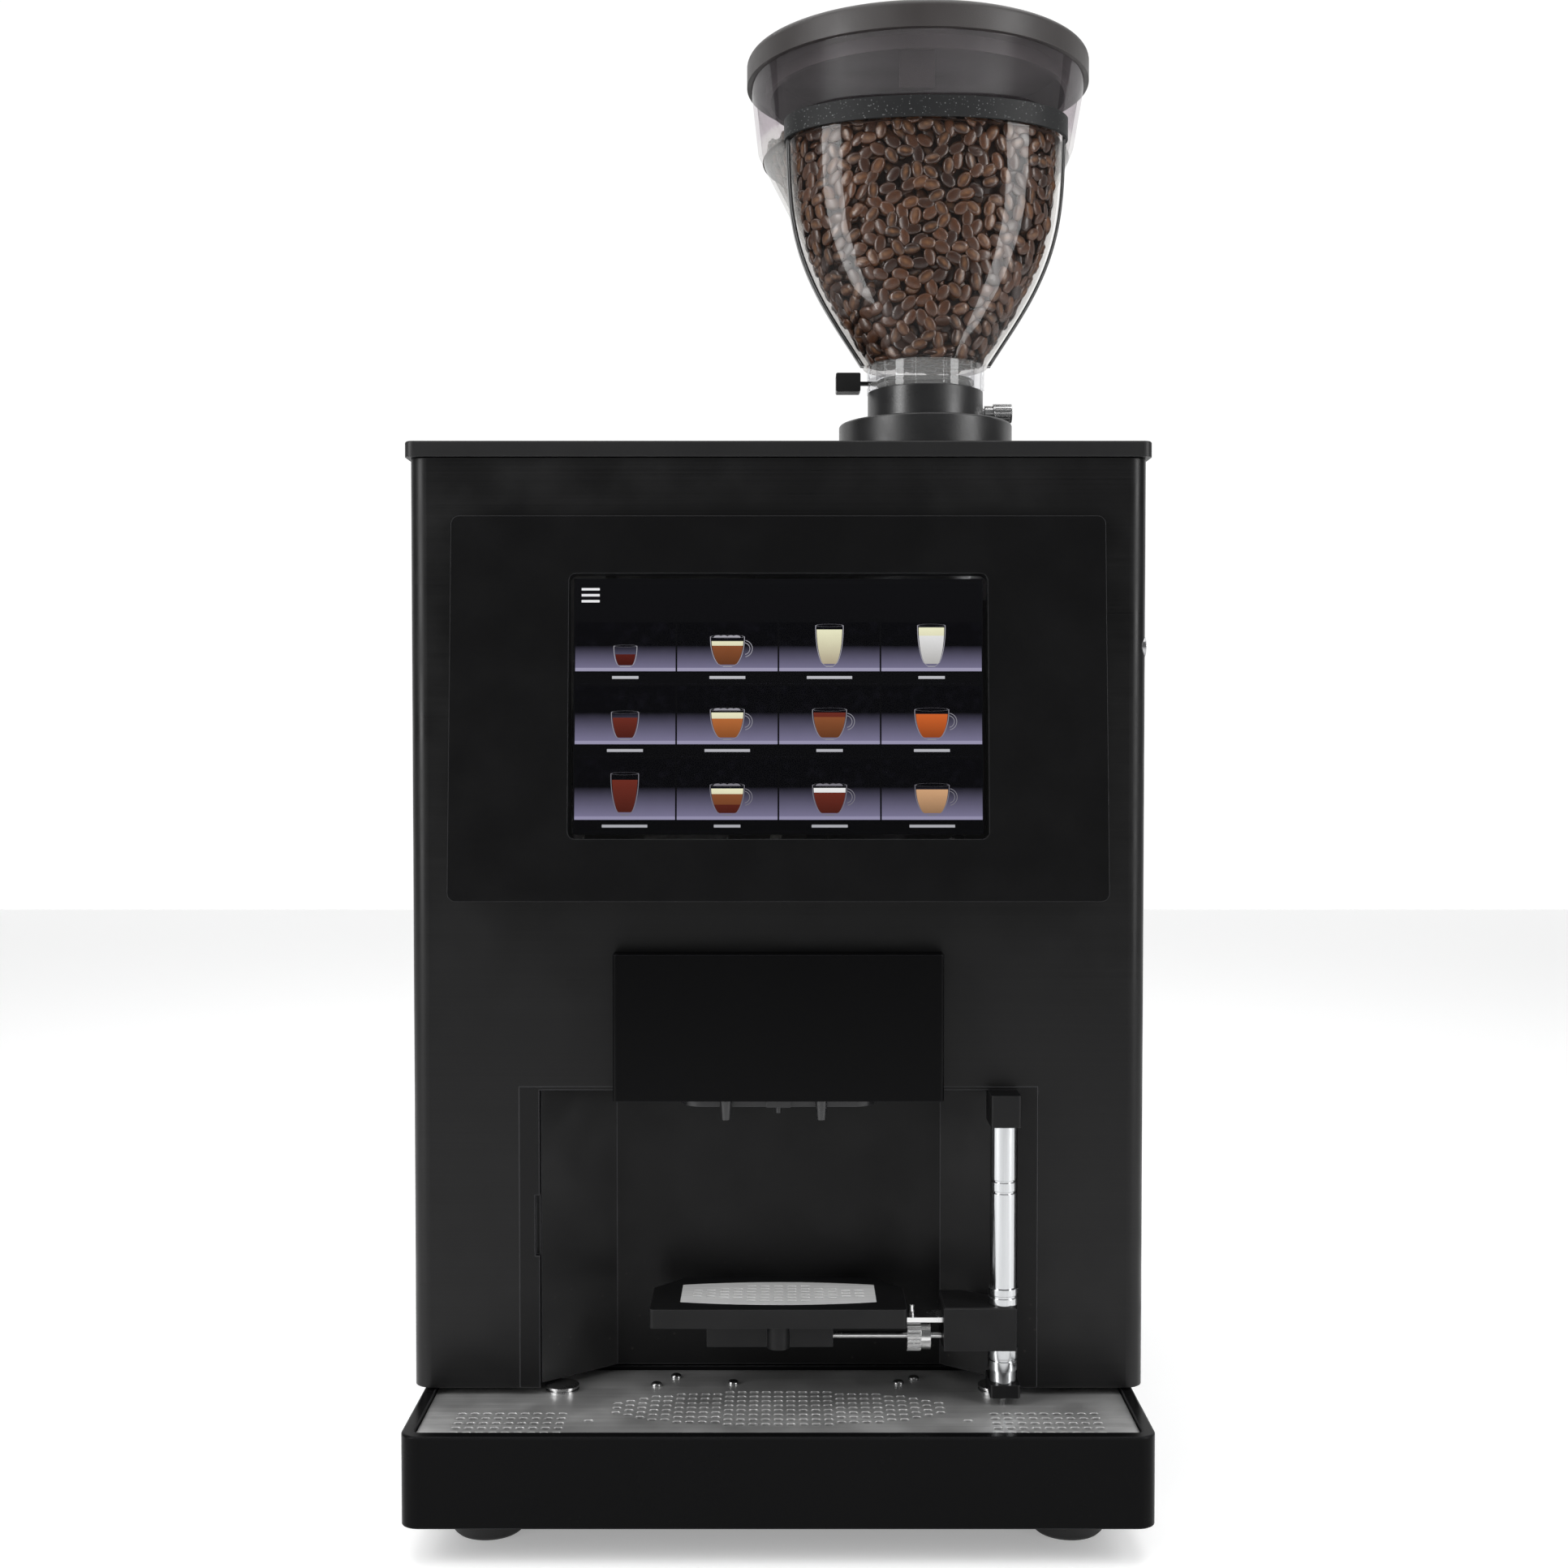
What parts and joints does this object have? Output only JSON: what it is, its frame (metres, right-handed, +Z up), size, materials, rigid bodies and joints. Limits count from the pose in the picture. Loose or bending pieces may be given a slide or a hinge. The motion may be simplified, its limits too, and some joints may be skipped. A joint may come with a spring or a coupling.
{
  "type": "coffee vending machine",
  "caption": "Counter-top bean-to-cup coffee vending machine with a touch screen, a recess with a swivelling cup platform, a drip tray, a hinged front and a clear bean hopper.",
  "frame": {"origin": "middle of the bounding box at floor level", "axes": "+Z up, the front with the screen faces -Y, +X to the right as seen from the front"},
  "size_m": [0.4, 0.562, 0.8355],
  "materials": {
    "cabinet_black": "satin charcoal powder coat",
    "frame_steel": "bare galvanised sheet",
    "hinge_steel": "satin",
    "foot_rubber": "matte",
    "service_black": "matte",
    "valve_brass": "satin",
    "boiler_steel": "satin",
    "pump_grey": "matte",
    "hose": "translucent silicone",
    "supply_case": "satin",
    "board_green": "solder mask",
    "grinder_alloy": "cast satin",
    "burr_steel": "ground",
    "adjuster_black": "matte",
    "brewer_plastic": "matte",
    "piston_plastic": "matte",
    "motor_black": "satin",
    "bin_grey": "matte",
    "canister_clear": "milky gloss",
    "auger_plastic": "matte",
    "bowl_plastic": "gloss",
    "door_black": "brushed dark coat",
    "bezel_black": "satin",
    "screen_glass": "gloss",
    "display": "lit panel",
    "gloss_black": "gloss",
    "nozzle_black": "satin",
    "nozzle_grey": "satin",
    "liner_black": "satin",
    "chrome_rod": "polished",
    "carriage_black": "satin",
    "link_steel": "satin",
    "insert_steel": "brushed",
    "tray_black": "gloss",
    "grid_steel": "brushed",
    "fitting_steel": "polished",
    "mount_black": "satin",
    "clear_plastic": "clear gloss",
    "hopper_clear": "clear gloss",
    "ring_speckle": "speckled",
    "lid_brown": "matte",
    "beans": "roasted",
    "gate_black": "satin",
    "screw_steel": "knurled"
  },
  "bodies": {
    "cabinet": {"base_frame": "cabinet_black", "feet": "foot_rubber", "cabinet_wrap": "cabinet_black", "top_cover": "cabinet_black", "chassis_frame": "frame_steel", "cabinet_hinges": "hinge_steel", "power_inlet": "service_black", "water_inlet": "valve_brass", "fan_housing": "service_black", "boiler": "boiler_steel", "pump": "pump_grey", "pipework": "hose", "power_supply": "supply_case", "control_board": "board_green", "grinder_housing": "grinder_alloy", "coffee_chute": "brewer_plastic", "brew_unit": "brewer_plastic", "drive_motors": "motor_black", "waste_bin": "bin_grey", "powder_canisters": "canister_clear", "canister_lids": "service_black", "mixing_bowls": "bowl_plastic", "hopper_mount": "mount_black"},
    "fan": {"fan_rotor": "service_black"},
    "switch": {"power_switch": "gloss_black"},
    "burr": {"lower_burr": "burr_steel"},
    "adjuster": {"grind_adjuster": "adjuster_black"},
    "piston": {"brew_piston": "piston_plastic"},
    "auger_one": {"auger_left": "auger_plastic"},
    "auger_two": {"auger_right": "auger_plastic"},
    "whipper_one": {"whipper_left": "auger_plastic"},
    "whipper_two": {"whipper_right": "auger_plastic"},
    "tray": {"drip_tray": "tray_black", "drip_grid": "grid_steel", "grid_fittings": "fitting_steel"},
    "door": {"door_panel": "door_black", "door_hinges": "hinge_steel", "touch_bezel": "bezel_black", "touch_glass": "screen_glass", "display_panel": "display", "nose_cover": "gloss_black", "nozzle_block": "nozzle_black", "nozzle_tips": "nozzle_grey", "recess_liner": "liner_black", "guide_rod": "chrome_rod", "rod_brackets": "carriage_black"},
    "latch": {"door_latch": "hinge_steel"},
    "collars": {"rod_collars": "chrome_rod"},
    "carriage": {"carriage_block": "carriage_black", "platform_link": "link_steel", "cup_platform": "carriage_black", "platform_insert": "insert_steel"},
    "knob": {"lock_knob": "link_steel"},
    "hopper": {"hopper_shell": "hopper_clear", "hopper_ring": "ring_speckle", "hopper_collar": "clear_plastic", "coffee_beans": "beans"},
    "lid": {"hopper_lid": "lid_brown"},
    "gate": {"slide_gate": "gate_black"},
    "clamp": {"clamp_screw": "screw_steel"}
  },
  "joints": [
    {"name": "door_hinge", "type": "hinge", "parent": "cabinet", "child": "door", "pos_m": [-0.197, -0.1942, 0.3], "axis": [0, 0, -1], "range_deg": [0, 100]},
    {"name": "latch_turn", "type": "hinge", "parent": "door", "child": "latch", "pos_m": [0.185, -0.205, 0.47], "axis": [1, 0, 0], "range_deg": [-90, 0]},
    {"name": "carriage_slide", "type": "slide", "parent": "door", "child": "collars", "axis": [0, 0, 1], "range_m": [-0.006, 0.06]},
    {"name": "carriage_swivel", "type": "hinge", "parent": "collars", "child": "carriage", "pos_m": [0.1205, -0.2225, 0.1065], "axis": [0, 0, 1], "range_deg": [0, 100]},
    {"name": "knob_turn", "type": "hinge", "parent": "carriage", "child": "knob", "pos_m": [0.0752, -0.22, 0.1], "axis": [1, 0, 0], "range_deg": [0, 360]},
    {"name": "tray_slide", "type": "slide", "parent": "cabinet", "child": "tray", "axis": [0, -1, 0], "range_m": [0, 0.12]},
    {"name": "hopper_lift", "type": "slide", "parent": "cabinet", "child": "hopper", "axis": [0, 0, 1], "range_m": [0, 0.06]},
    {"name": "lid_lift", "type": "slide", "parent": "hopper", "child": "lid", "axis": [0, 0, 1], "range_m": [0, 0.05]},
    {"name": "gate_slide", "type": "slide", "parent": "hopper", "child": "gate", "axis": [-1, 0, 0], "range_m": [0, 0.045]},
    {"name": "clamp_turn", "type": "hinge", "parent": "cabinet", "child": "clamp", "pos_m": [0.128, -0.104, 0.6125], "axis": [1, 0, 0], "range_deg": [0, 360]},
    {"name": "adjuster_turn", "type": "hinge", "parent": "cabinet", "child": "adjuster", "pos_m": [0.0866, -0.104, 0.545], "axis": [0, 0, 1], "range_deg": [-18, 18]},
    {"name": "burr_spin", "type": "hinge", "parent": "cabinet", "child": "burr", "pos_m": [0.0866, -0.104, 0.515], "axis": [0, 0, 1], "continuous": true},
    {"name": "auger_left_spin", "type": "hinge", "parent": "cabinet", "child": "auger_one", "pos_m": [-0.138, -0.064, 0.426], "axis": [0, 1, 0], "continuous": true},
    {"name": "auger_right_spin", "type": "hinge", "parent": "cabinet", "child": "auger_two", "pos_m": [-0.054, -0.064, 0.426], "axis": [0, 1, 0], "continuous": true},
    {"name": "whipper_left_spin", "type": "hinge", "parent": "cabinet", "child": "whipper_one", "pos_m": [-0.138, -0.094, 0.332], "axis": [0, 1, 0], "continuous": true},
    {"name": "whipper_right_spin", "type": "hinge", "parent": "cabinet", "child": "whipper_two", "pos_m": [-0.054, -0.094, 0.332], "axis": [0, 1, 0], "continuous": true},
    {"name": "fan_spin", "type": "hinge", "parent": "cabinet", "child": "fan", "pos_m": [-0.08, 0.254, 0.47], "axis": [0, 1, 0], "continuous": true},
    {"name": "piston_slide", "type": "slide", "parent": "cabinet", "child": "piston", "axis": [0, 0, 1], "range_m": [0, 0.05]},
    {"name": "switch_rock", "type": "hinge", "parent": "cabinet", "child": "switch", "pos_m": [-0.08, 0.2665, 0.1085], "axis": [1, 0, 0], "range_deg": [-16, 0]}
  ]
}
